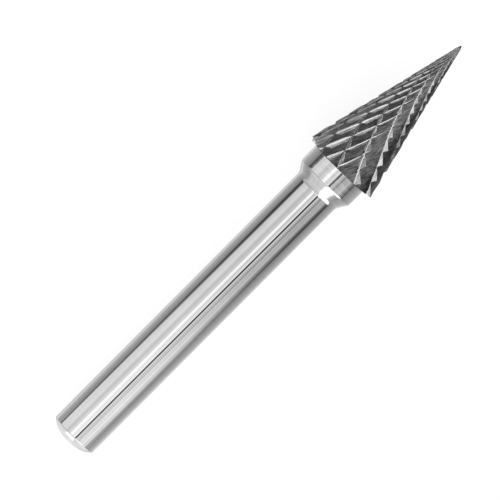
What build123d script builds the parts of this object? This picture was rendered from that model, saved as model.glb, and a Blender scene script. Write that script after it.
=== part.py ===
"""Pointed-cone carbide burr with a double cut, on a round steel shank.

The tool lies along +X with its tip at the +X end. The origin is the centre of the shank's back
end face, +Z is up and every length is in millimetres. A turn is an angle in degrees about the
tool's axis, from +Z towards -Y, which is the way a right-hand cutting tool spins.

The burr is brazed together from two pieces: a sintered carbide head with a blind socket in its
back face, and a turned steel shank whose spigot sits in that socket. A thin layer of silver
braze fills the gap between them.
"""

import os
from math import cos, degrees, log, radians, sin, tan

from build123d import *

os.makedirs("parts", exist_ok=True)

# ---------------------------------------------------------------- shank
shank_diameter = 6.0
shank_length = 45.0  # from the back end to the back face of the head
collar_diameter = 7.65  # the thicker seat behind the head
collar_length = 2.35
flare_angle = 32.0  # cone between shank and collar, measured from the axis
flare_fillet = 1.0  # where the flare runs out of the shank
end_chamfer_length = 0.96
end_chamfer_angle = 50.0  # measured from the axis
end_round_radius = 2.7  # runs the chamfer into the flat back end

# ---------------------------------------------------------------- joint between shank and head
spigot_diameter = 4.0
spigot_length = 3.0
braze_gap = 0.1  # thickness of the braze on the face, the side and the floor of the socket

# ---------------------------------------------------------------- head
head_diameter = 10.0
head_length = 20.0
nose_length = 1.08  # blunt point without flutes
nose_ledge = 0.022  # the nose starts this far inside the deepest flute
nose_tip_radius = 0.08
flute_end_radius = 0.40  # crest radius where the flutes run out at the nose
flute_stations = 7  # sections that each flute loft passes through

# Main flutes: right-hand helix, right-hand cut. Their sizes are those at the full diameter.
tooth_count = 18
tooth_depth = 0.50
tooth_helix_angle = 21.9  # at the back face
tooth_helix_overrun = 3.43  # the lead would shorten to nothing this far past the cone's point
tooth_start_turn = -5.6
rake_height = 0.29  # straight part of the rake face below the crest
rake_lean = 0.04  # the crest leans forward over the foot of the rake face
gullet_floor_offset = 0.15  # arc from the crest to the deepest point
gullet_back_offset = 0.44  # arc from the crest to the foot of the straight back
gullet_back_rise = 0.045

# Chip-breaker flutes: left-hand helix, crossing the main ones. Sizes at the full diameter.
breaker_count = 10
breaker_depth = 0.60
breaker_near_width = 0.75  # arc from the floor back to the edge of the groove
breaker_far_width = 1.10  # arc from the floor on to the other edge
breaker_helix_angle = 25.6
breaker_helix_overrun = 8.53
breaker_start_turn = 31.7
breaker_overcut = 1.2  # the outline leaves the cone at this share of the groove's width
breaker_overrun = 0.1  # the cutter starts and ends this far outside the fluted length

# ---------------------------------------------------------------- worked-out sizes
shank_radius = shank_diameter / 2
collar_radius = collar_diameter / 2
spigot_radius = spigot_diameter / 2
socket_radius = spigot_radius + braze_gap
head_radius = head_diameter / 2

head_back = shank_length
shank_front = head_back - braze_gap
collar_back = head_back - collar_length
flare_back = collar_back - (collar_radius - shank_radius) / tan(radians(flare_angle))
spigot_front = shank_front + spigot_length
socket_depth = spigot_length

end_corner_radius = shank_radius - end_chamfer_length * tan(radians(end_chamfer_angle))

fluted_length = head_length - nose_length
cone_length = fluted_length / (1 - flute_end_radius / head_radius)  # to the cone's sharp point
deepest_flute = max(tooth_depth, breaker_depth)
nose_base_radius = flute_end_radius * (1 - deepest_flute / head_radius) - nose_ledge


def cone_radius(station):
    """Radius of the head's cone at a distance in front of its back face."""
    return head_radius * (1 - station / cone_length)


def helix_turn(station, helix_angle, helix_overrun):
    """Turn of a helix at a station; its lead shortens as the cone narrows."""
    turn_rate = tan(radians(helix_angle)) / head_radius
    helix_run = cone_length + helix_overrun
    return degrees(turn_rate * helix_run * log(helix_run / (helix_run - station)))


def section_point(station, turn, arc, depth):
    """Point of a flute section, from an arc and a depth given at the full diameter."""
    scale = cone_radius(station) / head_radius
    radius = (head_radius - depth) * scale
    angle = radians(turn) + arc / head_radius
    return (-radius * sin(angle), radius * cos(angle))


def stations(start, end):
    """Stations of the sections that a flute loft passes through."""
    return [start + (end - start) * i / (flute_stations - 1) for i in range(flute_stations)]


# ---------------------------------------------------------------- steel shank, turned in one piece
with BuildPart() as steel_shank:
    with BuildSketch(Plane.XZ) as shank_profile:
        with BuildLine():
            Polyline(
                (0, 0),
                (0, end_corner_radius),
                (end_chamfer_length, shank_radius),
                (flare_back, shank_radius),
                (collar_back, collar_radius),
                (shank_front, collar_radius),
                (shank_front, spigot_radius),
                (spigot_front, spigot_radius),
                (spigot_front, 0),
                close=True,
            )
        make_face()
        end_corner = shank_profile.vertices().filter_by_position(
            Axis.X, -0.01, 0.01).sort_by(Axis.Y)[-1]
        fillet(end_corner, end_round_radius)
        flare_foot = shank_profile.vertices().filter_by_position(
            Axis.X, flare_back - 0.01, flare_back + 0.01)
        fillet(flare_foot, flare_fillet)
    revolve(axis=Axis.X)
steel_shank.part.label = "steel_shank"
export_step(steel_shank.part, "parts/steel_shank.step")

# ---------------------------------------------------------------- main flutes of the head
tooth_pitch = 360 / tooth_count
with BuildPart() as main_flutes:
    for station in stations(0, fluted_length):
        helix = helix_turn(station, tooth_helix_angle, tooth_helix_overrun)
        with BuildSketch(Plane.YZ.offset(head_back + station)):
            with BuildLine():
                for tooth in range(tooth_count):
                    turn = tooth_start_turn + helix + tooth * tooth_pitch
                    crest = section_point(station, turn, 0, 0)
                    rake_foot = section_point(station, turn, -rake_lean, rake_height)
                    gullet_floor = section_point(station, turn, gullet_floor_offset, tooth_depth)
                    back_foot = section_point(
                        station, turn, gullet_back_offset, tooth_depth - gullet_back_rise)
                    next_crest = section_point(station, turn + tooth_pitch, 0, 0)
                    Polyline(crest, rake_foot, gullet_floor, back_foot, next_crest)
            make_face()
    loft()

# ---------------------------------------------------------------- chip-breaker flutes of the head
breaker_pitch = 360 / breaker_count
overcut_depth = breaker_depth * (1 - breaker_overcut)
with BuildPart() as breaker_flutes:
    for station in stations(-breaker_overrun, fluted_length + breaker_overrun):
        helix = helix_turn(station, breaker_helix_angle, breaker_helix_overrun)
        with BuildSketch(Plane.YZ.offset(head_back + station)):
            with BuildLine():
                for groove in range(breaker_count):
                    turn = breaker_start_turn - helix + groove * breaker_pitch
                    near_edge = section_point(
                        station, turn, -breaker_near_width * breaker_overcut, overcut_depth)
                    floor = section_point(station, turn, 0, breaker_depth)
                    far_edge = section_point(
                        station, turn, breaker_far_width * breaker_overcut, overcut_depth)
                    next_edge = section_point(
                        station, turn + breaker_pitch,
                        -breaker_near_width * breaker_overcut, overcut_depth)
                    Polyline(near_edge, floor, far_edge, next_edge)
            make_face()
    loft()

# ---------------------------------------------------------------- carbide head
with BuildPart() as carbide_head:
    add(main_flutes.part)
    add(breaker_flutes.part, mode=Mode.INTERSECT)
    with BuildSketch(Plane.XZ):
        with BuildLine():
            nose_start = head_back + fluted_length
            nose_end = head_back + head_length
            Polyline((nose_start, 0), (nose_start, nose_base_radius))
            Line((nose_start, nose_base_radius), (nose_end - nose_tip_radius, nose_tip_radius))
            RadiusArc(
                (nose_end - nose_tip_radius, nose_tip_radius), (nose_end, 0), nose_tip_radius)
            Line((nose_end, 0), (nose_start, 0))
        make_face()
    revolve(axis=Axis.X)
    with BuildSketch(Plane.YZ.offset(head_back)):
        Circle(socket_radius)
    extrude(amount=socket_depth, mode=Mode.SUBTRACT)
carbide_head.part.label = "carbide_head"
export_step(carbide_head.part, "parts/carbide_head.step")

# ---------------------------------------------------------------- braze between head and shank
with BuildPart() as braze_joint:
    with BuildSketch(Plane.YZ.offset(shank_front)):
        Circle(collar_radius)
    extrude(amount=braze_gap)
    with BuildSketch(Plane.YZ.offset(shank_front)):
        Circle(socket_radius)
    extrude(amount=braze_gap + socket_depth)
    add(steel_shank.part, mode=Mode.SUBTRACT)
braze_joint.part.label = "braze_joint"
export_step(braze_joint.part, "parts/braze_joint.step")
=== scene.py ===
"""Looks of a pointed-cone carbide burr with a double cut, lying on a pale studio floor.

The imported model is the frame: its nodes give the places and the widest radii of the pieces,
and how the tool lies. The script builds the fluted carbide head and the turned steel shank as
finer pieces, gives the braze joint its finish, and sets up the floor, the surroundings and the
camera.

Pieces are modelled in millimetres and brought down to metres when they are done. The tool lies
along +X, the tip at the +X end. A turn is an angle about that axis, from +Z towards -Y, which
is the way the tool spins when it cuts.
"""

import logging
import math
from dataclasses import dataclass, field
from enum import Enum
from typing import Callable

import bpy
from bpy.types import Material, Node, NodeSocket, NodeTree, Object, World
from mathutils import Matrix, Vector


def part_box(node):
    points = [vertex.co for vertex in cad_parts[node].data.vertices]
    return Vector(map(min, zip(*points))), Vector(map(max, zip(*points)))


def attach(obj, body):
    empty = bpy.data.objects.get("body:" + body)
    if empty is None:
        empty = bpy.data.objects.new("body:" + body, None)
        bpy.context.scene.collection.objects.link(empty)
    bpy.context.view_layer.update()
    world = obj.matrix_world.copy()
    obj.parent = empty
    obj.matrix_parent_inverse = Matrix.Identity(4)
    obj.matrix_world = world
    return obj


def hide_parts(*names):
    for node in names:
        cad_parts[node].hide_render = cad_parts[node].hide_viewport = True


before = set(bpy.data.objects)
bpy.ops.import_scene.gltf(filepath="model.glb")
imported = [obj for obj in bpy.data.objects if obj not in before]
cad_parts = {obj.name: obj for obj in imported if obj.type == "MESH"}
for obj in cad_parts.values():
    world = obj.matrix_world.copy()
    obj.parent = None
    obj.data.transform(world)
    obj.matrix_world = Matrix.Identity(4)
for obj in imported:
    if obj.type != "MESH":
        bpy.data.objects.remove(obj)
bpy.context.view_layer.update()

log = logging.getLogger("burr")

MM = 0.001
SAME_PLACE = 0.001  # distance in millimetres under which two places count as one
PICTURE_WIDTH_PX = 500
DISPLAY_GAMMA = 2.2
TOOL_ROLL = 1.3  # how far the lying tool is rolled from its upright position, in degrees


# ---------------------------------------------------------------- editing helpers
def deselect_all() -> None:
    """Leaves object mode with nothing selected."""
    if bpy.context.object and bpy.context.object.mode != "OBJECT":
        bpy.ops.object.mode_set(mode="OBJECT")
    bpy.ops.object.select_all(action="DESELECT")


def select_only(piece: Object) -> None:
    """Selects one object and makes it the active one.

    Args:
        piece: the object to select.
    """
    deselect_all()
    piece.select_set(True)
    bpy.context.view_layer.objects.active = piece


def edit(piece: Object, mode: str = "VERT") -> None:
    """Opens a piece in edit mode with nothing selected.

    Args:
        piece: the object to edit.
        mode: the kind of element that selecting acts on.
    """
    select_only(piece)
    bpy.ops.object.mode_set(mode="EDIT")
    bpy.ops.mesh.select_mode(type=mode)
    bpy.ops.mesh.select_all(action="DESELECT")


def leave_edit() -> None:
    """Goes back to object mode."""
    bpy.ops.object.mode_set(mode="OBJECT")


def select_where(piece: Object, test: Callable[[int, Vector], bool]) -> None:
    """Selects the vertices of an open piece that pass a test, and no others.

    Args:
        piece: the object that is open in edit mode.
        test: told a vertex's number and place, says whether to select it.
    """
    bpy.ops.mesh.select_all(action="DESELECT")
    bpy.ops.object.mode_set(mode="OBJECT")
    for vertex in piece.data.vertices:
        vertex.select = test(vertex.index, vertex.co)
    bpy.ops.object.mode_set(mode="EDIT")


def turn_about_axis(turn: float, station: float = 0.0) -> None:
    """Turns the selection about the tool's axis.

    Args:
        turn: angle in degrees, from +Z towards -Y.
        station: place on the axis, in millimetres, where the pivot is set.
    """
    bpy.ops.transform.rotate(
        value=-math.radians(turn), orient_axis="X", center_override=(station, 0, 0))


def scale_about_axis(share: float, station: float = 0.0) -> None:
    """Scales the selection towards the tool's axis.

    Args:
        share: new distance from the axis over the old one.
        station: place on the axis, in millimetres, where the pivot is set.
    """
    bpy.ops.transform.resize(value=(1, share, share), center_override=(station, 0, 0))


def to_metres(piece: Object) -> None:
    """Brings a piece that was modelled in millimetres down to its real size.

    Args:
        piece: the piece to scale.
    """
    select_only(piece)
    piece.scale = (MM, MM, MM)
    bpy.ops.object.transform_apply(location=True, rotation=True, scale=True)


def smooth(piece: Object, angle: float) -> None:
    """Shades a piece smooth, with its sharp edges kept crisp.

    Args:
        piece: the piece to shade.
        angle: angle in degrees above which an edge is sharp.
    """
    select_only(piece)
    bpy.ops.object.shade_smooth_by_angle(angle=math.radians(angle), keep_sharp_edges=True)
    modifier = piece.modifiers.new("wide_faces_lead", "WEIGHTED_NORMAL")
    modifier.keep_sharp = True
    modifier.thresh = 0.0
    bpy.ops.object.modifier_apply(modifier=modifier.name)


# ---------------------------------------------------------------- fluted head
@dataclass(frozen=True)
class OutlinePoint:
    """A point of a flute section, given where the head has its full diameter."""

    arc: float
    depth: float


class Cut(Enum):
    """The two sets of flutes, and which way each one winds."""

    MAIN = 1
    BREAKER = -1


class Grind(Enum):
    """The grinds of the head, by the number of their material slot.

    BACK is the back of a tooth and the near side of a breaker flute, ROOT a flute's round
    bottom, FLANK the far side of a breaker flute and RAKE the front face of a tooth. ROOT,
    FLANK and RAKE hold much lighter copies of the carbide than BACK as painted highlight, so
    that a breaker flute's far side shows bright and its near side darker.
    """

    BACK = 0
    ROOT = 1
    FLANK = 2
    RAKE = 3


@dataclass
class Flutes:
    """One set of flutes on a cone.

    Attributes:
        cut: which set it is.
        count: how many flutes go round.
        start_turn: turn of the first flute at the back face, in degrees.
        helix_angle: helix angle at the back face, in degrees.
        overrun: how far past the cone's point the lead would shorten to nothing.
        root_start: arc from the flute's turn to where its round bottom begins.
        root_end: arc to where the round bottom ends.
        outline: points from one flute to the next, at the full diameter.
    """

    cut: Cut
    count: int
    start_turn: float
    helix_angle: float
    overrun: float
    root_start: float
    root_end: float
    outline: list[OutlinePoint]


def arc_points(
    start: OutlinePoint, through: OutlinePoint, end: OutlinePoint, steps: int
) -> list[OutlinePoint]:
    """Points of a rounded flute bottom.

    Args:
        start: where the round stretch begins.
        through: its deepest point is half way to this corner.
        end: where it ends.
        steps: number of points inside the stretch.

    Returns:
        The points between start and end, on a parabola that touches both sides.
    """
    points = []
    for i in range(1, steps + 1):
        t = i / (steps + 1)
        points.append(OutlinePoint(
            (1 - t) ** 2 * start.arc + 2 * t * (1 - t) * through.arc + t**2 * end.arc,
            (1 - t) ** 2 * start.depth + 2 * t * (1 - t) * through.depth + t**2 * end.depth))
    return points


def between(start: OutlinePoint, end: OutlinePoint, steps: int) -> list[OutlinePoint]:
    """Points that divide a straight stretch of a section.

    Args:
        start: where the stretch begins.
        end: where it ends.
        steps: number of points inside it.

    Returns:
        The points, without the two ends.
    """
    return [
        OutlinePoint(start.arc + (end.arc - start.arc) * i / (steps + 1),
                     start.depth + (end.depth - start.depth) * i / (steps + 1))
        for i in range(1, steps + 1)]


@dataclass
class FlutedHead:
    """Carbide cone whose two sets of flutes cross and leave rows of pointed teeth.

    Attributes:
        back: place of the back face on the axis, in millimetres.
        tip: place of the blunt point on the axis.
        radius: crest radius at the back face.
        end_radius: crest radius where the flutes run out at the nose.
        nose_length: blunt point in front of the flutes.
        nose_radius: radius of the nose where it starts.
        tip_radius: rounding of the point.
        steps: number of slices that the fluted length is drawn out in.
        overcut: share of a breaker flute's width at which its outline leaves the cone.
        overrun: how far the body with the breaker flutes goes past both ends.
        rake_level: share of the crest radius above which a face at the crest is a rake face.
        rake_arc: how far a rake face may lie from the crest's turn, either way.
        root_margin: arc just before a round bottom that counts as a part of it.
        highlight_share: share of the fluted length past which only round bottoms keep painted
            highlight.
        nose_corners: corners of the nose round the axis.
        nose_steps: rings that the rounding of the point is made of.
        crease: angle in degrees above which an edge stays crisp.
        main_lines: grinding lines in each millimetre of a main flute.
        breaker_lines: the same for a breaker flute.
    """

    back: float
    tip: float
    radius: float
    end_radius: float = 0.22
    nose_length: float = 0.32
    nose_radius: float = 0.18
    tip_radius: float = 0.08
    steps: int = 110
    overcut: float = 1.2
    overrun: float = 0.1
    rake_level: float = 0.93
    rake_arc: tuple[float, float] = (-0.1, 0.05)
    root_margin: float = 0.03
    highlight_share: float = 0.78
    nose_corners: int = 48
    nose_steps: int = 6
    crease: float = 26.0
    main_lines: float = 5.5
    breaker_lines: float = 8.0

    @property
    def fluted_length(self) -> float:
        """Length of the head behind its nose."""
        return self.tip - self.back - self.nose_length

    @property
    def cone_length(self) -> float:
        """Distance from the back face to the cone's sharp point."""
        return self.fluted_length / (1 - self.end_radius / self.radius)

    def crest_radius(self, station: float) -> float:
        """Radius of the cone at a distance in front of the back face."""
        return self.radius * (1 - station / self.cone_length)

    def helix_turn(self, flutes: Flutes, station: float) -> float:
        """Turn that a flute has made between the back face and a station.

        Args:
            flutes: the set of flutes.
            station: distance in front of the back face.

        Returns:
            The turn in degrees; the lead shortens as the cone narrows.
        """
        run = self.cone_length + flutes.overrun
        rate = math.tan(math.radians(flutes.helix_angle)) / self.radius
        return flutes.cut.value * math.degrees(rate * run * math.log(run / (run - station)))

    def main_flutes(self) -> Flutes:
        """Gives the main flutes: a steep rake face, a round gullet and a straight back.

        Returns:
            The flutes, with their outline.
        """
        count = 18
        crest = OutlinePoint(0.0, 0.0)
        rake_foot = OutlinePoint(-0.045, 0.36)
        back_foot = OutlinePoint(0.13, 0.44)
        next_crest = OutlinePoint(2 * math.pi * self.radius / count, 0.0)
        outline = [crest, *between(crest, rake_foot, 1), rake_foot]
        outline += arc_points(rake_foot, OutlinePoint(-0.055, 0.49), back_foot, 5)
        outline += [back_foot, *between(back_foot, next_crest, 4)]
        return Flutes(
            cut=Cut.MAIN, count=count, start_turn=-5.6, helix_angle=21.9, overrun=3.43,
            root_start=rake_foot.arc, root_end=back_foot.arc, outline=outline)

    def breaker_flutes(self) -> Flutes:
        """Gives the chip-breaker flutes: V grooves with a small round in the bottom.

        Returns:
            The flutes, with their outline.
        """
        count = 10
        depth, near_width, far_width, root = 0.54, 0.62, 0.72, 0.09
        level = depth * (1 - self.overcut)
        near = OutlinePoint(-near_width * self.overcut, level)
        floor = OutlinePoint(0.0, depth)
        far = OutlinePoint(far_width * self.overcut, level)
        near_root = OutlinePoint(-near_width * root, depth * (1 - root))
        far_root = OutlinePoint(far_width * root, depth * (1 - root))
        pitch = 2 * math.pi * self.radius / count
        outline = [near, *between(near, near_root, 1), near_root]
        outline += [*arc_points(near_root, floor, far_root, 4), far_root]
        outline += [*between(far_root, far, 2), far]
        outline += between(far, OutlinePoint(near.arc + pitch, level), 2)
        return Flutes(
            cut=Cut.BREAKER, count=count, start_turn=31.7, helix_angle=25.6, overrun=8.53,
            root_start=near_root.arc, root_end=far_root.arc, outline=outline)

    def fluted_body(self, flutes: Flutes, overrun: float) -> Object:
        """Draws a toothed ring out along a cone.

        Args:
            flutes: the set of flutes that the ring's outline follows.
            overrun: how far the body goes past both ends of the fluted length.

        Returns:
            A closed body in millimetres.
        """
        points, start = len(flutes.outline), -overrun
        corners = flutes.count * points
        deselect_all()
        bpy.ops.mesh.primitive_circle_add(
            vertices=corners, radius=self.crest_radius(start), fill_type="NOTHING",
            location=(self.back + start, 0, 0), rotation=(0, math.pi / 2, 0))
        bpy.ops.object.transform_apply(location=True, rotation=True, scale=True)
        body = bpy.context.object
        columns = [self.columns(body, corners, points, j) for j in range(points)]
        edit(body)
        for j, point in enumerate(flutes.outline):
            select_where(body, lambda number, place: number in columns[j])
            turn = math.degrees(point.arc / self.radius) - j * 360 / corners
            turn_about_axis(turn + 90 + flutes.start_turn)
            scale_about_axis(1 - point.depth / self.radius)
        bpy.ops.mesh.select_all(action="SELECT")
        turn_about_axis(self.helix_turn(flutes, start))
        bpy.ops.mesh.edge_face_add()
        step = (self.fluted_length + 2 * overrun) / self.steps
        for i in range(self.steps):
            here, there = start + i * step, start + (i + 1) * step
            bpy.ops.mesh.extrude_region_move(TRANSFORM_OT_translate={"value": (step, 0, 0)})
            turn_about_axis(self.helix_turn(flutes, there) - self.helix_turn(flutes, here))
            scale_about_axis(self.crest_radius(there) / self.crest_radius(here))
        bpy.ops.mesh.select_all(action="SELECT")
        bpy.ops.mesh.normals_make_consistent(inside=False)
        leave_edit()
        self.part_faces(body, flutes)
        return body

    def part_faces(self, body: Object, flutes: Flutes) -> None:
        """Gives each face the slot of the grind that it was cut with.

        Args:
            body: one of the two fluted bodies.
            flutes: its set of flutes.
        """
        for _ in Grind:
            body.data.materials.append(None)
        pitch = 360 / flutes.count
        for face in body.data.polygons:
            place = face.center
            turn = math.degrees(math.atan2(-place.y, place.z))
            station = min(max(place.x - self.back, 0), self.fluted_length)
            past = turn - flutes.start_turn - self.helix_turn(flutes, station)
            arc = math.radians((past + pitch / 2) % pitch - pitch / 2) * self.radius
            level = math.hypot(place.y, place.z) / self.crest_radius(station)
            face.material_index = self.grind_at(flutes, station, arc, level).value

    def grind_at(self, flutes: Flutes, station: float, arc: float, level: float) -> Grind:
        """Tells which grind cut a place on a fluted body.

        Args:
            flutes: the body's set of flutes.
            station: distance in front of the back face.
            arc: arc from the nearest flute's turn, at the full diameter.
            level: distance from the axis over the crest radius.

        Returns:
            The grind, which is the number of a slot too.
        """
        # Past this share, rake faces and breaker flanks lose their painted highlight and take the
        # backs' tone.
        past_highlight = station > self.highlight_share * self.fluted_length
        rake_start, rake_end = self.rake_arc
        if flutes.cut is Cut.MAIN and rake_start < arc < rake_end and level > self.rake_level:
            return Grind.BACK if past_highlight else Grind.RAKE
        if flutes.root_start - self.root_margin < arc < flutes.root_end:
            return Grind.ROOT
        if flutes.cut is Cut.BREAKER and arc > 0 and not past_highlight:
            return Grind.FLANK
        return Grind.BACK

    @staticmethod
    def columns(body: Object, corners: int, points: int, j: int) -> set[int]:
        """Vertices of a plain ring that become one point of every flute.

        Args:
            body: the ring, still round.
            corners: number of vertices in the ring.
            points: number of vertices for each flute.
            j: which point of the flute.

        Returns:
            The vertices' numbers, found by their place round the axis.
        """
        found = set()
        for vertex in body.data.vertices:
            turn = math.atan2(vertex.co.z, vertex.co.y)
            if round(turn / (2 * math.pi) * corners) % points == j:
                found.add(vertex.index)
        return found

    def line_settings(self, flutes: Flutes, lines: float) -> dict[str, float]:
        """Values that lay grinding lines along a set of flutes.

        Args:
            flutes: the set of flutes.
            lines: lines in each millimetre.

        Returns:
            The values, by the names of the group's inputs.
        """
        run = self.cone_length + flutes.overrun
        rate = math.tan(math.radians(flutes.helix_angle)) / self.radius
        return {"Back": self.back, "Run": run, "Lines": lines,
                "Turn Rate": flutes.cut.value * rate * run}

    def nose(self) -> Object:
        """Lathes the plain point in front of the flutes from a short profile.

        Returns:
            A closed body in millimetres.
        """
        start = self.back + self.fluted_length
        rings = [(start - self.nose_length, self.nose_radius), (start, self.nose_radius)]
        for i in range(self.nose_steps):
            bend = i / self.nose_steps * math.pi / 2
            rings.append((self.tip - self.tip_radius * (1 - math.sin(bend)),
                          self.tip_radius * math.cos(bend)))
        return lathe("carbide_nose", rings, self.tip, self.nose_corners)

    def build(self) -> Object:
        """Crosses the two fluted bodies, adds the nose and gives the piece its name.

        Returns:
            The head in metres, with an empty slot for each grind.
        """
        piece = self.fluted_body(self.main_flutes(), 0.0)
        breaker = self.fluted_body(self.breaker_flutes(), self.overrun)
        combine(piece, breaker, "INTERSECT")
        combine(piece, self.nose(), "UNION")
        piece.name = "fluted_carbide_head"
        smooth(piece, self.crease)
        to_metres(piece)
        return piece

    def dress(self, piece: Object) -> None:
        """Gives each grind a copy of the carbide: darker on the backs, and much lighter on the rake
        faces, round bottoms and far breaker flanks as painted highlight, with grinding lines along
        the flutes.

        Args:
            piece: the built head.
        """
        main_lines = self.line_settings(self.main_flutes(), self.main_lines)
        breaker_lines = self.line_settings(self.breaker_flutes(), self.breaker_lines)
        # Painted highlight: the rake, root and flank slots get far lighter base colours than the
        # backs.
        fill_slots(piece, {
            Grind.BACK: MetalFinish(
                "carbide_back", tone=0.34, roughness=0.22, group=LineGroup.GRIND,
                settings=main_lines, tone_play=0.45, stain_play=0.1, roughness_play=0.08,
                groove=0.005),
            Grind.ROOT: MetalFinish(
                "carbide_root_painted_highlight", tone=0.85, roughness=0.10, group=LineGroup.GRIND,
                settings=main_lines, tone_play=0.05, stain_play=0.05, roughness_play=0.05,
                groove=0.0005),
            Grind.FLANK: MetalFinish(
                "carbide_flank_painted_highlight", tone=0.62, roughness=0.15, group=LineGroup.GRIND,
                settings=breaker_lines, tone_play=0.15, stain_play=0.1, roughness_play=0.08,
                groove=0.002),
            Grind.RAKE: MetalFinish(
                "carbide_rake_painted_highlight", tone=0.90, roughness=0.28, group=LineGroup.GRIND,
                settings=main_lines, tone_play=0.15, stain_play=0.1, roughness_play=0.08,
                groove=0.002)})


def combine(piece: Object, other: Object, operation: str) -> None:
    """Joins a piece with another body, which is used up.

    Args:
        piece: the body that stays.
        other: the body that is taken away afterwards.
        operation: the kind of boolean.
    """
    select_only(piece)
    modifier = piece.modifiers.new(operation.lower(), "BOOLEAN")
    modifier.operation = operation
    modifier.object = other
    modifier.solver = "EXACT"
    bpy.ops.object.modifier_apply(modifier=modifier.name)
    bpy.data.objects.remove(other)


def lathe(name: str, rings: list[tuple[float, float]], end: float, corners: int) -> Object:
    """Draws a round ring out along the tool's axis, as on a lathe.

    Args:
        name: name of the new piece.
        rings: place on the axis and radius of each ring, from the back to the front.
        end: place on the axis where the last ring is drawn to a point.
        corners: number of corners round the axis.

    Returns:
        A closed body in millimetres.
    """
    deselect_all()
    first, radius = rings[0]
    bpy.ops.mesh.primitive_circle_add(
        vertices=corners, radius=radius, fill_type="TRIFAN",
        location=(first, 0, 0), rotation=(0, math.pi / 2, 0))
    bpy.ops.object.transform_apply(location=True, rotation=True, scale=True)
    piece = bpy.context.object
    piece.name = name
    edit(piece)
    select_where(piece, lambda number, place: math.hypot(place.y, place.z) > radius / 2)
    for (here, old), (there, new) in zip(rings[:-1], rings[1:]):
        bpy.ops.mesh.extrude_region_move(TRANSFORM_OT_translate={"value": (there - here, 0, 0)})
        scale_about_axis(new / old, there)
    bpy.ops.mesh.extrude_region_move(
        TRANSFORM_OT_translate={"value": (end - rings[-1][0], 0, 0)})
    bpy.ops.mesh.merge(type="CENTER")
    bpy.ops.mesh.select_all(action="SELECT")
    bpy.ops.mesh.normals_make_consistent(inside=False)
    leave_edit()
    return piece


# ---------------------------------------------------------------- turned shank
class Turned(Enum):
    """The finishes of the shank, by the number of their material slot.

    GROUND is the bright shank, SATIN the finely turned flare and collar.
    """

    GROUND = 0
    SATIN = 1


@dataclass
class TurnedShank:
    """Ground steel shank with a collar behind the head and a rounded back end.

    Attributes:
        back: place of the back end on the axis, in millimetres.
        front: place of the collar's front face.
        collar_radius: radius of the collar.
        radius: radius of the shank.
        collar_length: length of the collar's straight part.
        flare_angle: cone between shank and collar, in degrees from the axis.
        flare_round: how far the round at the foot of the flare reaches.
        chamfer_length: length of the cone at the back end.
        chamfer_angle: its angle from the axis.
        chamfer_round: how far the round between cone and back end reaches.
        edge_round: tiny round on the edges that the tool leaves sharp.
        corners: corners round the axis.
        crease: angle in degrees above which an edge stays crisp.
    """

    back: float
    front: float
    collar_radius: float
    radius: float = 3.0
    collar_length: float = 2.35
    flare_angle: float = 32.0
    flare_round: float = 0.287
    chamfer_length: float = 0.96
    chamfer_angle: float = 50.0
    chamfer_round: float = 0.98
    edge_round: float = 0.06
    corners: int = 192
    crease: float = 24.0

    def build(self) -> Object:
        """Lathes the outline, then rounds its corners with bevels.

        Returns:
            The shank in metres, with an empty slot for each finish.
        """
        corner = self.radius - self.chamfer_length * math.tan(math.radians(self.chamfer_angle))
        flare = (self.collar_radius - self.radius) / math.tan(math.radians(self.flare_angle))
        collar_back = self.front - self.collar_length
        rings = [
            (self.back, corner),
            (self.back + self.chamfer_length, self.radius),
            (collar_back - flare, self.radius),
            (collar_back, self.collar_radius),
            (self.front, self.collar_radius)]
        rounds = [
            (self.chamfer_round, 10), (self.edge_round, 3), (self.flare_round, 8),
            (self.edge_round * 2, 4), (self.edge_round, 3)]
        piece = lathe("turned_steel_shank", rings, self.front, self.corners)
        for ring, (reach, segments) in zip(rings, rounds):
            self.round_corner(piece, ring, reach, segments)
        for _ in Turned:
            piece.data.materials.append(None)
        for face in piece.data.polygons:
            satin = face.center.x > rings[2][0] + self.edge_round
            face.material_index = (Turned.SATIN if satin else Turned.GROUND).value
        smooth(piece, self.crease)
        to_metres(piece)
        return piece

    def dress(self, piece: Object) -> None:
        """Gives the shank its bright finish and the collar its satin one.

        Args:
            piece: the built shank.
        """
        fill_slots(piece, {
            Turned.GROUND: MetalFinish(
                "ground_steel", tone=0.87, roughness=0.02, group=LineGroup.LATHE,
                tone_play=0.03, stain_play=0.03, roughness_play=0.01,
                groove=0.00002),
            Turned.SATIN: MetalFinish(
                "satin_steel", tone=0.90, roughness=0.10, group=LineGroup.LATHE,
                settings={"Rings": 5.0}, tone_play=0.06, stain_play=0.04, roughness_play=0.05,
                groove=0.0003)})

    @staticmethod
    def round_corner(
        piece: Object, ring: tuple[float, float], reach: float, segments: int
    ) -> None:
        """Rounds one ring of the outline.

        Args:
            piece: the lathed body, in millimetres.
            ring: place on the axis and radius of the ring.
            reach: how far the round goes along each side.
            segments: number of flats that the round is made of.
        """
        place, radius = ring
        edit(piece)
        select_where(piece, lambda number, point: (
            abs(point.x - place) < SAME_PLACE
            and abs(math.hypot(point.y, point.z) - radius) < SAME_PLACE))
        bpy.ops.mesh.bevel(
            offset_type="OFFSET", offset=reach, segments=segments, profile=0.5,
            affect="EDGES", clamp_overlap=False)
        leave_edit()


# ---------------------------------------------------------------- braze joint
@dataclass(frozen=True)
class BrazeJoint:
    """Thin layer of silver braze between head and shank, which keeps the frame's own mesh.

    Attributes:
        node: name of the layer's node in the frame.
    """

    node: str = "braze_joint"

    def dress(self) -> Object:
        """Gives the node the finish of braze that flux and heat have dulled.

        Returns:
            The node's object.
        """
        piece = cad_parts[self.node]
        piece.data.materials.clear()
        silver = MetalFinish(
            "silver_braze", tone=0.22, roughness=0.45, group=LineGroup.LATHE,
            tone_play=0.1, stain_play=0.2, roughness_play=0.1,
            groove=0.002, warmth=0.02)
        piece.data.materials.append(silver.build())
        return piece


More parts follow.
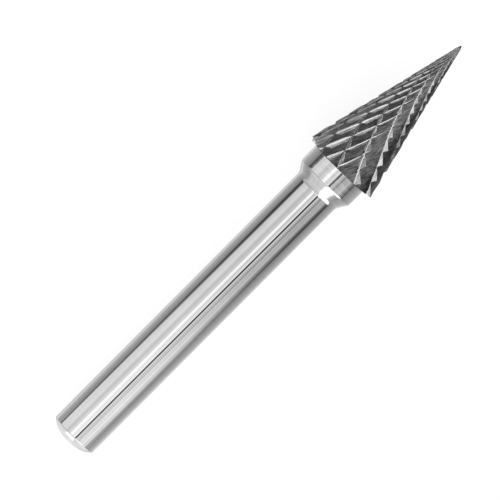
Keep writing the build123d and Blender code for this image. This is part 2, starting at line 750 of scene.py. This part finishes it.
# ---------------------------------------------------------------- node helpers
def new_node(tree: NodeTree, kind: str, **settings: object) -> Node:
    """Adds a node and sets its plain properties.

    Args:
        tree: the node tree.
        kind: the node's type.
        settings: properties to set on it.

    Returns:
        The node.
    """
    node = tree.nodes.new(kind)
    for name, value in settings.items():
        setattr(node, name, value)
    return node


def feed(tree: NodeTree, value: float | NodeSocket, target: NodeSocket) -> None:
    """Links a socket to another, or sets a plain value on it.

    Args:
        tree: the node tree.
        value: the socket to read, or a number.
        target: the input that takes it.
    """
    if isinstance(value, NodeSocket):
        tree.links.new(value, target)
    else:
        target.default_value = value


def maths(tree: NodeTree, operation: str, *values: float | NodeSocket) -> NodeSocket:
    """Adds a maths node.

    Args:
        tree: the node tree.
        operation: what the node works out.
        values: numbers or sockets, in the order of its inputs.

    Returns:
        The result's socket.
    """
    node = new_node(tree, "ShaderNodeMath", operation=operation)
    for value, target in zip(values, node.inputs):
        feed(tree, value, target)
    return node.outputs[0]


def remap(
    tree: NodeTree, value: NodeSocket, low: float, high: float,
    to_low: float = 0.0, to_high: float = 1.0, kind: str = "SMOOTHSTEP",
) -> NodeSocket:
    """Maps a range on another.

    Args:
        tree: the node tree.
        value: the socket to read.
        low: value that gives to_low.
        high: value that gives to_high.
        to_low: result at and below low.
        to_high: result at and above high.
        kind: how the result goes from one to the other.

    Returns:
        The result's socket.
    """
    node = new_node(tree, "ShaderNodeMapRange", interpolation_type=kind)
    tree.links.new(value, node.inputs["Value"])
    for name, number in zip(("From Min", "From Max", "To Min", "To Max"),
                            (low, high, to_low, to_high)):
        node.inputs[name].default_value = number
    return node.outputs["Result"]


def along(tree: NodeTree, source: NodeSocket, direction: Vector) -> NodeSocket:
    """Finds the part of a vector that points in a direction.

    Args:
        tree: the node tree.
        source: the vector's socket.
        direction: a direction of length 1.

    Returns:
        The part's socket.
    """
    node = new_node(tree, "ShaderNodeVectorMath", operation="DOT_PRODUCT")
    tree.links.new(source, node.inputs[0])
    node.inputs[1].default_value = direction
    return node.outputs["Value"]


def streaks(
    tree: NodeTree, place: NodeSocket, scale: float, play: float, detail: float = 2.0
) -> NodeSocket:
    """Makes a factor that changes from streak to streak.

    Args:
        tree: the node tree.
        place: the place across the streaks.
        scale: number of streaks in each unit of that place.
        play: how far the factor goes from 1.
        detail: octaves of finer streaks.

    Returns:
        The factor, about 1 on average.
    """
    noise = new_node(tree, "ShaderNodeTexNoise", noise_dimensions="1D")
    tree.links.new(place, noise.inputs["W"])
    noise.inputs["Scale"].default_value = scale
    noise.inputs["Detail"].default_value = detail
    return maths(tree, "MULTIPLY_ADD", noise.outputs["Fac"], play * 4, 1 - play * 2)


# ---------------------------------------------------------------- studio
@dataclass(frozen=True)
class Lay:
    """How the tool lies on the floor: the shank's end and the head's rim touch it.

    Attributes:
        tilt: angle between the tool's axis and the floor, in degrees.
        roll: how far the tool is rolled from its upright position, in degrees.
        heel: place on the axis of the shank's lowest point, in millimetres.
        heel_radius: radius of the shank there.
    """

    tilt: float
    roll: float
    heel: float
    heel_radius: float

    @property
    def side(self) -> Vector:
        """Direction along the floor, across the tool."""
        angle = math.radians(self.roll)
        return Vector((0, -math.cos(angle), math.sin(angle)))

    @property
    def ahead(self) -> Vector:
        """Finds the direction along the floor, from the shank to the tip.

        Returns:
            A direction of length 1.
        """
        angle = math.radians(self.tilt)
        down = Vector((1, 0, 0)).cross(self.side)
        return Vector((1, 0, 0)) * math.cos(angle) + down * math.sin(angle)

    @property
    def up(self) -> Vector:
        """Direction that points straight up from the floor."""
        return self.side.cross(self.ahead)

    @property
    def contact(self) -> Vector:
        """Where the shank's end touches the floor, in metres."""
        down = Vector((1, 0, 0)).cross(self.side)
        return (Vector((self.heel, 0, 0)) + down * self.heel_radius) * MM


@dataclass(frozen=True)
class Band:
    """Levels of the surroundings at one angle from straight up.

    Attributes:
        angle: degrees from straight up, towards the tool's side.
        level: from black at 0 to white at 1; a lamp may be above 1.
    """

    angle: float
    level: float


@dataclass(frozen=True)
class Ring:
    """Lamps and screens round the tool at one slant, from straight behind to straight ahead.

    Attributes:
        start: part of the direction along the tool's axis where the ring begins to take over
            from the one behind it.
        end: part where it has taken over.
        bands: its levels, in order of their angles.
    """

    start: float
    end: float
    bands: tuple[Band, ...]


@dataclass(frozen=True)
class Surroundings:
    """Long soft lamps and dark screens that run along the tool.

    Attributes:
        rings: the lamps and screens, from behind to ahead.
        skew: how far the bands turn along the tool, in degrees for each unit of slant.
        skew_centre: slant at which the angles of the bands hold.
        skew_reach: distance from that slant past which the bands turn no further.
        streak_play: how far fine streaks change the levels.
        streak_count: number of streaks in a whole turn.
    """

    rings: tuple[Ring, ...] = (
        Ring(-1.00, -0.99, (
            Band(-180, 0.70), Band(-75, 0.80), Band(20, 0.84), Band(26, 1.12), Band(78, 1.12),
            Band(88, 0.80), Band(180, 0.70))),
        Ring(-0.66, -0.60, (
            Band(-180, 0.60), Band(-60, 0.74), Band(18, 0.82), Band(26, 1.25), Band(80, 1.35),
            Band(96, 0.80), Band(180, 0.50))),
        Ring(-0.24, -0.21, (
            Band(-180, 0.30), Band(-45, 0.32), Band(-24, 0.66), Band(-8, 1.05), Band(24, 1.10),
            Band(36, 0.45), Band(90, 0.40), Band(180, 0.30))),
        Ring(-0.15, -0.12, (
            Band(-180, 0.85), Band(-100, 0.60), Band(-90, 0.40), Band(-82, 0.38), Band(-77.5, 0.86),
            Band(-60, 0.90), Band(-44, 0.90), Band(-36, 0.82), Band(-18, 0.90), Band(-14, 1.03),
            Band(-8, 1.05), Band(0, 0.99), Band(9, 1.00), Band(13.8, 0.92), Band(14.6, 0.0),
            Band(20.4, 0.0), Band(21.2, 0.92), Band(26, 0.86), Band(35, 0.82), Band(40, 0.88),
            Band(45, 0.96), Band(52, 0.90), Band(60, 0.97), Band(68, 0.94), Band(75, 0.90),
            Band(82, 0.78), Band(88, 0.62), Band(96, 0.60), Band(130, 0.85), Band(180, 0.85))),
        Ring(-0.083, -0.060, (
            Band(-180, 0.85), Band(-100, 0.60), Band(-90, 0.28), Band(-77, 0.30), Band(-71.5, 0.80),
            Band(-60, 0.86), Band(-44, 0.88), Band(-36, 0.79), Band(-18, 0.82), Band(-14, 0.99),
            Band(-8, 1.03), Band(0, 0.78), Band(9, 0.93), Band(13.8, 0.80), Band(14.6, 0.0),
            Band(20.4, 0.0), Band(21.2, 0.76), Band(26, 0.82), Band(35, 0.59), Band(40, 0.59),
            Band(45, 0.74), Band(52, 0.67), Band(60, 0.72), Band(68, 0.62), Band(76, 0.36),
            Band(89, 0.20), Band(96, 0.38), Band(130, 0.80), Band(180, 0.85))),
        Ring(0.00, 0.05, (
            Band(-180, 0.45), Band(-50, 0.45), Band(-22, 1.20), Band(55, 1.20), Band(65, 0.40),
            Band(95, 0.35), Band(180, 0.45))),
        Ring(0.35, 0.43, (
            Band(-180, 0.45), Band(-34, 0.45), Band(-20, 0.54), Band(-5, 0.60), Band(30, 0.56),
            Band(42, 0.38), Band(56, 0.22), Band(95, 0.22), Band(180, 0.40))),
        Ring(0.62, 0.70, (Band(-180, 0.60), Band(180, 0.60))))
    skew: float = 145.0
    skew_centre: float = -0.072
    skew_reach: float = 0.02
    streak_play: float = 0.26
    streak_count: float = 80.0

    def build(self, lay: Lay) -> World:
        """Sets up the world.

        Args:
            lay: how the tool lies, which gives the lamps their direction.

        Returns:
            The world.
        """
        world = bpy.data.worlds.new("studio")
        bpy.context.scene.world = world
        world.use_nodes = True
        tree = world.node_tree
        tree.nodes.clear()
        gaze = new_node(tree, "ShaderNodeTexCoord").outputs["Generated"]
        ahead = along(tree, gaze, Vector((1, 0, 0)))
        lean = maths(tree, "SUBTRACT", ahead, self.skew_centre)
        lean = maths(tree, "MAXIMUM", lean, -self.skew_reach)
        lean = maths(tree, "MINIMUM", lean, self.skew_reach)
        angle = maths(tree, "ARCTAN2", along(tree, gaze, lay.side), along(tree, gaze, lay.up))
        angle = maths(tree, "MULTIPLY_ADD", lean, -math.radians(self.skew), angle)
        turn = maths(tree, "MULTIPLY_ADD", angle, 0.5 / math.pi, 0.5)
        level = self.ramp(tree, turn, self.rings[0].bands)
        for ring in self.rings[1:]:
            level = self.blend(tree, remap(tree, ahead, ring.start, ring.end),
                               level, self.ramp(tree, turn, ring.bands))
        lit = new_node(tree, "ShaderNodeBackground")
        tree.links.new(level, lit.inputs["Color"])
        tree.links.new(streaks(tree, turn, self.streak_count, self.streak_play, 3.0),
                       lit.inputs["Strength"])
        seen = new_node(tree, "ShaderNodeBackground")
        seen.inputs["Color"].default_value = (1, 1, 1, 1)
        rays = new_node(tree, "ShaderNodeLightPath")
        mix = new_node(tree, "ShaderNodeMixShader")
        tree.links.new(rays.outputs["Is Camera Ray"], mix.inputs[0])
        tree.links.new(lit.outputs[0], mix.inputs[1])
        tree.links.new(seen.outputs[0], mix.inputs[2])
        out = new_node(tree, "ShaderNodeOutputWorld")
        tree.links.new(mix.outputs[0], out.inputs["Surface"])
        return world

    @staticmethod
    def blend(
        tree: NodeTree, share: NodeSocket, first: NodeSocket, second: NodeSocket
    ) -> NodeSocket:
        """Goes from one colour to another.

        Args:
            tree: the world's node tree.
            share: 0 for the first colour, 1 for the second.
            first: the first colour.
            second: the second colour.

        Returns:
            The mixed colour's socket.
        """
        node = new_node(tree, "ShaderNodeMix", data_type="RGBA")
        tree.links.new(share, node.inputs[0])
        tree.links.new(first, node.inputs[6])
        tree.links.new(second, node.inputs[7])
        return node.outputs[2]

    @staticmethod
    def ramp(tree: NodeTree, turn: NodeSocket, bands: tuple[Band, ...]) -> NodeSocket:
        """Lays bands round the tool.

        Args:
            tree: the world's node tree.
            turn: share of a whole turn, with straight up in the middle.
            bands: the levels, in order of their angles.

        Returns:
            The socket of the level, as a grey colour.
        """
        ramp = new_node(tree, "ShaderNodeValToRGB")
        tree.links.new(turn, ramp.inputs["Fac"])
        stops = ramp.color_ramp.elements
        stops.remove(stops[-1])
        for i, band in enumerate(bands):
            place = (band.angle + 180) / 360
            stop = stops[0] if i == 0 else stops.new(place)
            stop.position = place
            tone = band.level**DISPLAY_GAMMA
            stop.color = (tone, tone, tone, 1)
        return ramp.outputs["Color"]


@dataclass(frozen=True)
class StudioFloor:
    """A pale floor that shows white around the tool and keeps its shadow.

    Distances across are from a line under the tool, and places along are from its back end.
    All are in metres.

    Attributes:
        size: length of its side.
        tone: colour of the floor.
        camera_glow: light that is added where the camera sees the floor.
        mirror_glow: light that is added beside the tool where metal mirrors the floor.
        pool: distance across past which that light gets weaker.
        pool_side: how far the line under the tool is moved to its left.
        streak_play: how far streaks along the tool change that light.
        streak_scale: number of those streaks in each metre across.
        head_start: place along past which the floor that metal mirrors gets darker, by less added
            light and by painted shade in its colour.
        head_end: place where it is darkest, under the head.
        head_glow: share of the mirrored light that is left there.
        head_dim: share of the floor's own colour taken away along with that light, as painted
            shade.
        end_glow: light that is added behind the tool's back end.
        end_start: place along where that light begins.
        end_full: place where it is full.
        stripe_glow: light of a bright stripe that lies behind the tool.
        stripe_inner: distance across up to which the stripe is full.
        stripe_outer: distance across where it ends.
        stripe_start: place along where the stripe begins.
        stripe_full: place where it is full.
    """

    size: float = 4.0
    tone: float = 0.3
    camera_glow: float = 0.84
    mirror_glow: float = 0.42
    pool: float = 0.006
    pool_side: float = 0.001
    streak_play: float = 0.5
    streak_scale: float = 250.0
    head_start: float = 0.046
    head_end: float = 0.051
    head_glow: float = 0.4
    head_dim: float = 0.7
    end_glow: float = 0.14
    end_start: float = -0.001
    end_full: float = -0.003
    stripe_glow: float = 0.4
    stripe_inner: float = 0.003
    stripe_outer: float = 0.0034
    stripe_start: float = -0.009
    stripe_full: float = -0.012

    def build(self, lay: Lay) -> Object:
        """Lays the floor under the tool.

        Args:
            lay: how the tool lies.

        Returns:
            The floor.
        """
        deselect_all()
        bpy.ops.mesh.primitive_grid_add(
            x_subdivisions=8, y_subdivisions=8, size=self.size, location=lay.contact,
            rotation=Matrix((lay.ahead, -lay.side, lay.up)).transposed().to_euler())
        bpy.ops.object.transform_apply(location=True, rotation=True, scale=True)
        floor = bpy.context.object
        floor.name = "studio_floor"
        floor.data.materials.append(self.paint(lay))
        return floor

    def paint(self, lay: Lay) -> Material:
        """Makes the floor's matt finish, which can be looked through from below, with painted shade
        in its colour where metal mirrors it under the head.

        Args:
            lay: how the tool lies.

        Returns:
            The material.
        """
        material = bpy.data.materials.new("studio_floor")
        material.use_nodes = True
        tree = material.node_tree
        skin = tree.nodes["Principled BSDF"]
        skin.inputs["Roughness"].default_value = 0.9
        skin.inputs["Specular IOR Level"].default_value = 0.0
        skin.inputs["Emission Color"].default_value = (1, 1, 1, 1)
        rays = new_node(tree, "ShaderNodeLightPath")
        place = new_node(tree, "ShaderNodeTexCoord").outputs["Object"]
        ahead = along(tree, place, lay.ahead)
        fade = remap(tree, ahead, self.head_start, self.head_end, 1.0, self.head_glow, "LINEAR")
        # Painted shade: under the head, the floor's colour is darker where metal mirrors it.
        dim = maths(tree, "MULTIPLY", rays.outputs["Is Glossy Ray"],
                    maths(tree, "SUBTRACT", 1, fade))
        tree.links.new(maths(tree, "MULTIPLY_ADD", dim, -self.head_dim * self.tone, self.tone),
                       skin.inputs["Base Color"])
        glow = maths(tree, "MULTIPLY", rays.outputs["Is Camera Ray"], self.camera_glow)
        mirrored = maths(tree, "MULTIPLY", rays.outputs["Is Glossy Ray"],
                         self.mirrored_light(tree, place, lay, fade))
        tree.links.new(maths(tree, "ADD", glow, mirrored), skin.inputs["Emission Strength"])
        clear = new_node(tree, "ShaderNodeBsdfTransparent")
        mix = new_node(tree, "ShaderNodeMixShader")
        tree.links.new(new_node(tree, "ShaderNodeNewGeometry").outputs["Backfacing"],
                       mix.inputs[0])
        tree.links.new(skin.outputs[0], mix.inputs[1])
        tree.links.new(clear.outputs[0], mix.inputs[2])
        tree.links.new(mix.outputs[0], tree.nodes["Material Output"].inputs["Surface"])
        return material

    def mirrored_light(
        self, tree: NodeTree, place: NodeSocket, lay: Lay, fade: NodeSocket
    ) -> NodeSocket:
        """Works out the light on the floor that only shiny metal sees.

        Args:
            tree: the floor's node tree.
            place: the place on the floor.
            lay: how the tool lies.
            fade: share of the light that is left towards the head.

        Returns:
            The light beside the tool, with the glow and the stripe behind its end.
        """
        ahead = along(tree, place, lay.ahead)
        across = maths(tree, "ABSOLUTE", maths(
            tree, "ADD", along(tree, place, lay.side), self.pool_side))
        light = maths(tree, "DIVIDE", self.pool * self.mirror_glow,
                      maths(tree, "MAXIMUM", across, self.pool))
        light = maths(tree, "MULTIPLY", light,
                      streaks(tree, across, self.streak_scale, self.streak_play))
        light = maths(tree, "MULTIPLY", light, fade)
        stripe = maths(tree, "MULTIPLY",
                       remap(tree, across, self.stripe_outer, self.stripe_inner),
                       remap(tree, ahead, self.stripe_start, self.stripe_full))
        light = maths(tree, "MULTIPLY_ADD", stripe, self.stripe_glow, light)
        behind = remap(tree, ahead, self.end_start, self.end_full, 0.0, self.end_glow, "LINEAR")
        return maths(tree, "ADD", behind, light)


@dataclass(frozen=True)
class Camera:
    """A very long lens that looks down on the floor.

    Attributes:
        scale: picture points for each millimetre at the tip.
        roll: angle of the tool's axis from the picture's lower edge, in degrees.
        tip_x: place of the tip in the picture, counted from its left edge.
        tip_y: the same, counted from its upper edge.
        pitch: how far the camera leans ahead of straight above, in degrees.
        lens: focal length in millimetres.
    """

    scale: float = 8.6
    roll: float = 45.1
    tip_x: float = 461.5
    tip_y: float = 45.9
    pitch: float = 1.37
    lens: float = 900.0

    def build(self, lay: Lay, tip: float) -> Object:
        """Sets the camera up.

        Args:
            lay: how the tool lies.
            tip: place of the tool's tip on its axis, in millimetres.

        Returns:
            The camera.
        """
        roll, pitch = math.radians(self.roll), math.radians(self.pitch)
        back = lay.up * math.cos(pitch) + lay.ahead * math.sin(pitch)
        ahead = lay.ahead * math.cos(pitch) - lay.up * math.sin(pitch)
        right = ahead * math.cos(roll) + lay.side * math.sin(roll)
        up = ahead * math.sin(roll) - lay.side * math.cos(roll)
        data = bpy.data.cameras.new("camera")
        data.lens = self.lens
        camera = bpy.data.objects.new("camera", data)
        bpy.context.scene.collection.objects.link(camera)
        half = PICTURE_WIDTH_PX / 2
        width = PICTURE_WIDTH_PX / self.scale * MM
        distance = width * self.lens / data.sensor_width
        middle = (Vector((tip, 0, 0)) * MM
                  - right * ((self.tip_x - half) / self.scale * MM)
                  - up * ((half - self.tip_y) / self.scale * MM))
        camera.matrix_world = Matrix((
            (right.x, up.x, back.x, 0), (right.y, up.y, back.y, 0),
            (right.z, up.z, back.z, 0), (0, 0, 0, 1)))
        camera.location = middle + back * distance
        data.clip_start, data.clip_end = distance / 10, distance * 20
        bpy.context.scene.camera = camera
        return camera


# ---------------------------------------------------------------- finishes
class LineGroup(Enum):
    """Shader groups that more than one finish uses, by the name of their node tree."""

    GRIND = "lines_along_the_flutes"
    LATHE = "lines_round_the_axis"


def group_tree(
    name: str, inputs: dict[str, float], outputs: list[str]
) -> tuple[NodeTree, Node, Node]:
    """Starts a shader group.

    Args:
        name: name of the group.
        inputs: names and plain values of its inputs.
        outputs: names of its outputs.

    Returns:
        The tree, its input node and its output node.
    """
    tree = bpy.data.node_groups.new(name, "ShaderNodeTree")
    for label, value in inputs.items():
        socket = tree.interface.new_socket(label, in_out="INPUT", socket_type="NodeSocketFloat")
        socket.default_value = value
    for label in outputs:
        tree.interface.new_socket(label, in_out="OUTPUT", socket_type="NodeSocketFloat")
    return tree, new_node(tree, "NodeGroupInput"), new_node(tree, "NodeGroupOutput")


def stretched_noise(
    tree: NodeTree, place: NodeSocket, lengthwise: float | NodeSocket,
    across: float | NodeSocket, detail: float = 3.0,
) -> NodeSocket:
    """Noise from 0 to 1 that is longer one way than the other.

    Args:
        tree: the node tree.
        place: the place to read, in millimetres.
        lengthwise: cells in each millimetre along X.
        across: cells in each millimetre along Y and Z.
        detail: octaves of finer noise.

    Returns:
        The noise, about 0.5 on average.
    """
    scale = new_node(tree, "ShaderNodeCombineXYZ")
    feed(tree, lengthwise, scale.inputs[0])
    feed(tree, across, scale.inputs[1])
    feed(tree, across, scale.inputs[2])
    stretch = new_node(tree, "ShaderNodeVectorMath", operation="MULTIPLY")
    tree.links.new(place, stretch.inputs[0])
    tree.links.new(scale.outputs[0], stretch.inputs[1])
    noise = new_node(tree, "ShaderNodeTexNoise")
    tree.links.new(stretch.outputs[0], noise.inputs["Vector"])
    noise.inputs["Scale"].default_value = 1.0
    noise.inputs["Detail"].default_value = detail
    return remap(tree, noise.outputs["Fac"], 0.25, 0.75)


def place_in_mm(tree: NodeTree) -> NodeSocket:
    """Reads the place on the piece.

    Args:
        tree: the node tree.

    Returns:
        The place in millimetres.
    """
    node = new_node(tree, "ShaderNodeVectorMath", operation="SCALE")
    tree.links.new(new_node(tree, "ShaderNodeTexCoord").outputs["Object"], node.inputs[0])
    node.inputs["Scale"].default_value = 1 / MM
    return node.outputs[0]


def grind_lines() -> NodeTree:
    """Makes the lines that a grinding wheel leaves along flutes, and the stain between them.

    Returns:
        The shader group.
    """
    inputs = {"Back": 45.0, "Run": 24.0, "Turn Rate": 1.9, "Lines": 12.0, "Length": 0.7}
    tree, given, result = group_tree(LineGroup.GRIND.value, inputs, ["Lines", "Stain"])
    place = place_in_mm(tree)
    station = maths(tree, "SUBTRACT", along(tree, place, Vector((1, 0, 0))),
                    given.outputs["Back"])
    left = maths(tree, "MAXIMUM", maths(tree, "SUBTRACT", given.outputs["Run"], station), 0.1)
    share = maths(tree, "DIVIDE", given.outputs["Run"], left)
    twist = maths(tree, "MULTIPLY", maths(tree, "LOGARITHM", share, math.e),
                  given.outputs["Turn Rate"])
    straight = new_node(tree, "ShaderNodeVectorRotate", rotation_type="X_AXIS")
    tree.links.new(place, straight.inputs["Vector"])
    tree.links.new(maths(tree, "MULTIPLY", twist, -1.0), straight.inputs["Angle"])
    lines = stretched_noise(tree, straight.outputs[0], given.outputs["Length"],
                            given.outputs["Lines"], detail=4.0)
    tree.links.new(lines, result.inputs["Lines"])
    tree.links.new(stretched_noise(tree, place, 0.9, 0.9), result.inputs["Stain"])
    return tree


def lathe_lines() -> NodeTree:
    """Makes the rings that turning leaves round the axis, and the stain between them.

    Returns:
        The shader group.
    """
    inputs = {"Rings": 14.0, "Length": 0.25}
    tree, given, result = group_tree(LineGroup.LATHE.value, inputs, ["Lines", "Stain"])
    place = place_in_mm(tree)
    lines = stretched_noise(
        tree, place, given.outputs["Rings"], given.outputs["Length"], detail=4.0)
    tree.links.new(lines, result.inputs["Lines"])
    tree.links.new(stretched_noise(tree, place, 0.25, 0.6), result.inputs["Stain"])
    return tree


@dataclass(frozen=True)
class MetalFinish:
    """A metal with machining lines.

    Attributes:
        name: name of the material.
        tone: mean colour, the same for red, green and blue.
        roughness: mean roughness.
        group: the lines that the machine left.
        settings: values for the group's inputs.
        tone_play: how far the lines change the colour.
        stain_play: how far the stain changes the colour.
        roughness_play: how far both change the roughness.
        groove: depth of the lines, in millimetres.
        warmth: how far red is above the mean colour, and blue below it.
    """

    name: str
    tone: float
    roughness: float
    group: LineGroup
    settings: dict[str, float] = field(default_factory=dict)
    tone_play: float = 0.1
    stain_play: float = 0.1
    roughness_play: float = 0.05
    groove: float = 0.001
    warmth: float = 0.0

    def build(self) -> Material:
        """Makes the material.

        Returns:
            The material.
        """
        material = bpy.data.materials.new(self.name)
        material.use_nodes = True
        tree = material.node_tree
        skin = tree.nodes["Principled BSDF"]
        skin.inputs["Metallic"].default_value = 1.0
        lines = new_node(tree, "ShaderNodeGroup", node_tree=bpy.data.node_groups[self.group.value])
        for label, value in self.settings.items():
            lines.inputs[label].default_value = value
        line, stain = lines.outputs["Lines"], lines.outputs["Stain"]
        play = maths(tree, "MULTIPLY_ADD", line, self.tone_play * 2, 1 - self.tone_play)
        stained = maths(tree, "MULTIPLY_ADD", stain, self.stain_play * 2, -self.stain_play)
        shade = maths(tree, "ADD", play, stained)
        colour = new_node(tree, "ShaderNodeCombineColor")
        for channel, tint in enumerate((self.warmth, 0.0, -self.warmth)):
            tree.links.new(maths(tree, "MULTIPLY", shade, self.tone + tint),
                           colour.inputs[channel])
        tree.links.new(colour.outputs[0], skin.inputs["Base Color"])
        both = maths(tree, "ADD", line, stain)
        tree.links.new(
            maths(tree, "MULTIPLY_ADD", both, self.roughness_play,
                  self.roughness - self.roughness_play),
            skin.inputs["Roughness"])
        bump = new_node(tree, "ShaderNodeBump")
        bump.inputs["Distance"].default_value = self.groove * MM
        tree.links.new(line, bump.inputs["Height"])
        tree.links.new(bump.outputs["Normal"], skin.inputs["Normal"])
        return material


def fill_slots(piece: Object, finishes: dict[Enum, MetalFinish]) -> None:
    """Puts each finish in its slot.

    Args:
        piece: a built piece with empty slots.
        finishes: the finish of each slot.
    """
    for slot, finish in finishes.items():
        piece.data.materials[slot.value] = finish.build()


# ---------------------------------------------------------------- main
def widest(node: str) -> float:
    """Largest distance of a CAD node's surface from the tool's axis, in millimetres."""
    return max(math.hypot(v.co.y, v.co.z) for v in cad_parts[node].data.vertices) / MM


def span(node: str) -> tuple[float, float]:
    """First and last place of a CAD node on the tool's axis, in millimetres."""
    low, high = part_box(node)
    return low.x / MM, high.x / MM


def lie_down(heel: float, heel_radius: float, roll: float) -> Lay:
    """Finds how the tool lies, from the lowest tooth of the head.

    Args:
        heel: place on the axis where the shank's back end touches, in millimetres.
        heel_radius: radius of the shank there.
        roll: how far the tool is rolled, in degrees.

    Returns:
        The lay, with the tilt that brings the head's rim down to the floor.
    """
    level = Lay(0, roll, heel, heel_radius)
    slopes = [math.atan2(-v.co.dot(level.up) / MM - heel_radius, v.co.x / MM - heel)
              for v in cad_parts["carbide_head"].data.vertices]
    return Lay(math.degrees(max(slopes)), roll, heel, heel_radius)


def report(piece: Object) -> None:
    """Logs a piece's name and its number of faces."""
    log.info("%s: %d faces", piece.name, len(piece.data.polygons))


def main() -> None:
    """Builds the burr and its studio in order."""
    logging.basicConfig(level=logging.INFO, format="%(name)s: %(message)s")
    grind_lines()
    lathe_lines()
    head_back, head_tip = span("carbide_head")
    head = FlutedHead(head_back, head_tip, widest("carbide_head"))
    piece = head.build()
    head.dress(piece)
    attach(piece, "root")
    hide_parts("carbide_head")
    report(piece)
    shank = TurnedShank(span("steel_shank")[0], span("braze_joint")[0], widest("steel_shank"))
    piece = shank.build()
    shank.dress(piece)
    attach(piece, "root")
    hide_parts("steel_shank")
    report(piece)
    report(BrazeJoint().dress())
    lay = lie_down(shank.chamfer_length, shank.radius, TOOL_ROLL)
    log.info("lay: %s", lay)
    StudioFloor().build(lay)
    Surroundings().build(lay)
    Camera().build(lay, head_tip)
    bpy.context.scene.view_settings.view_transform = "Standard"


if __name__ == "__main__":
    main()
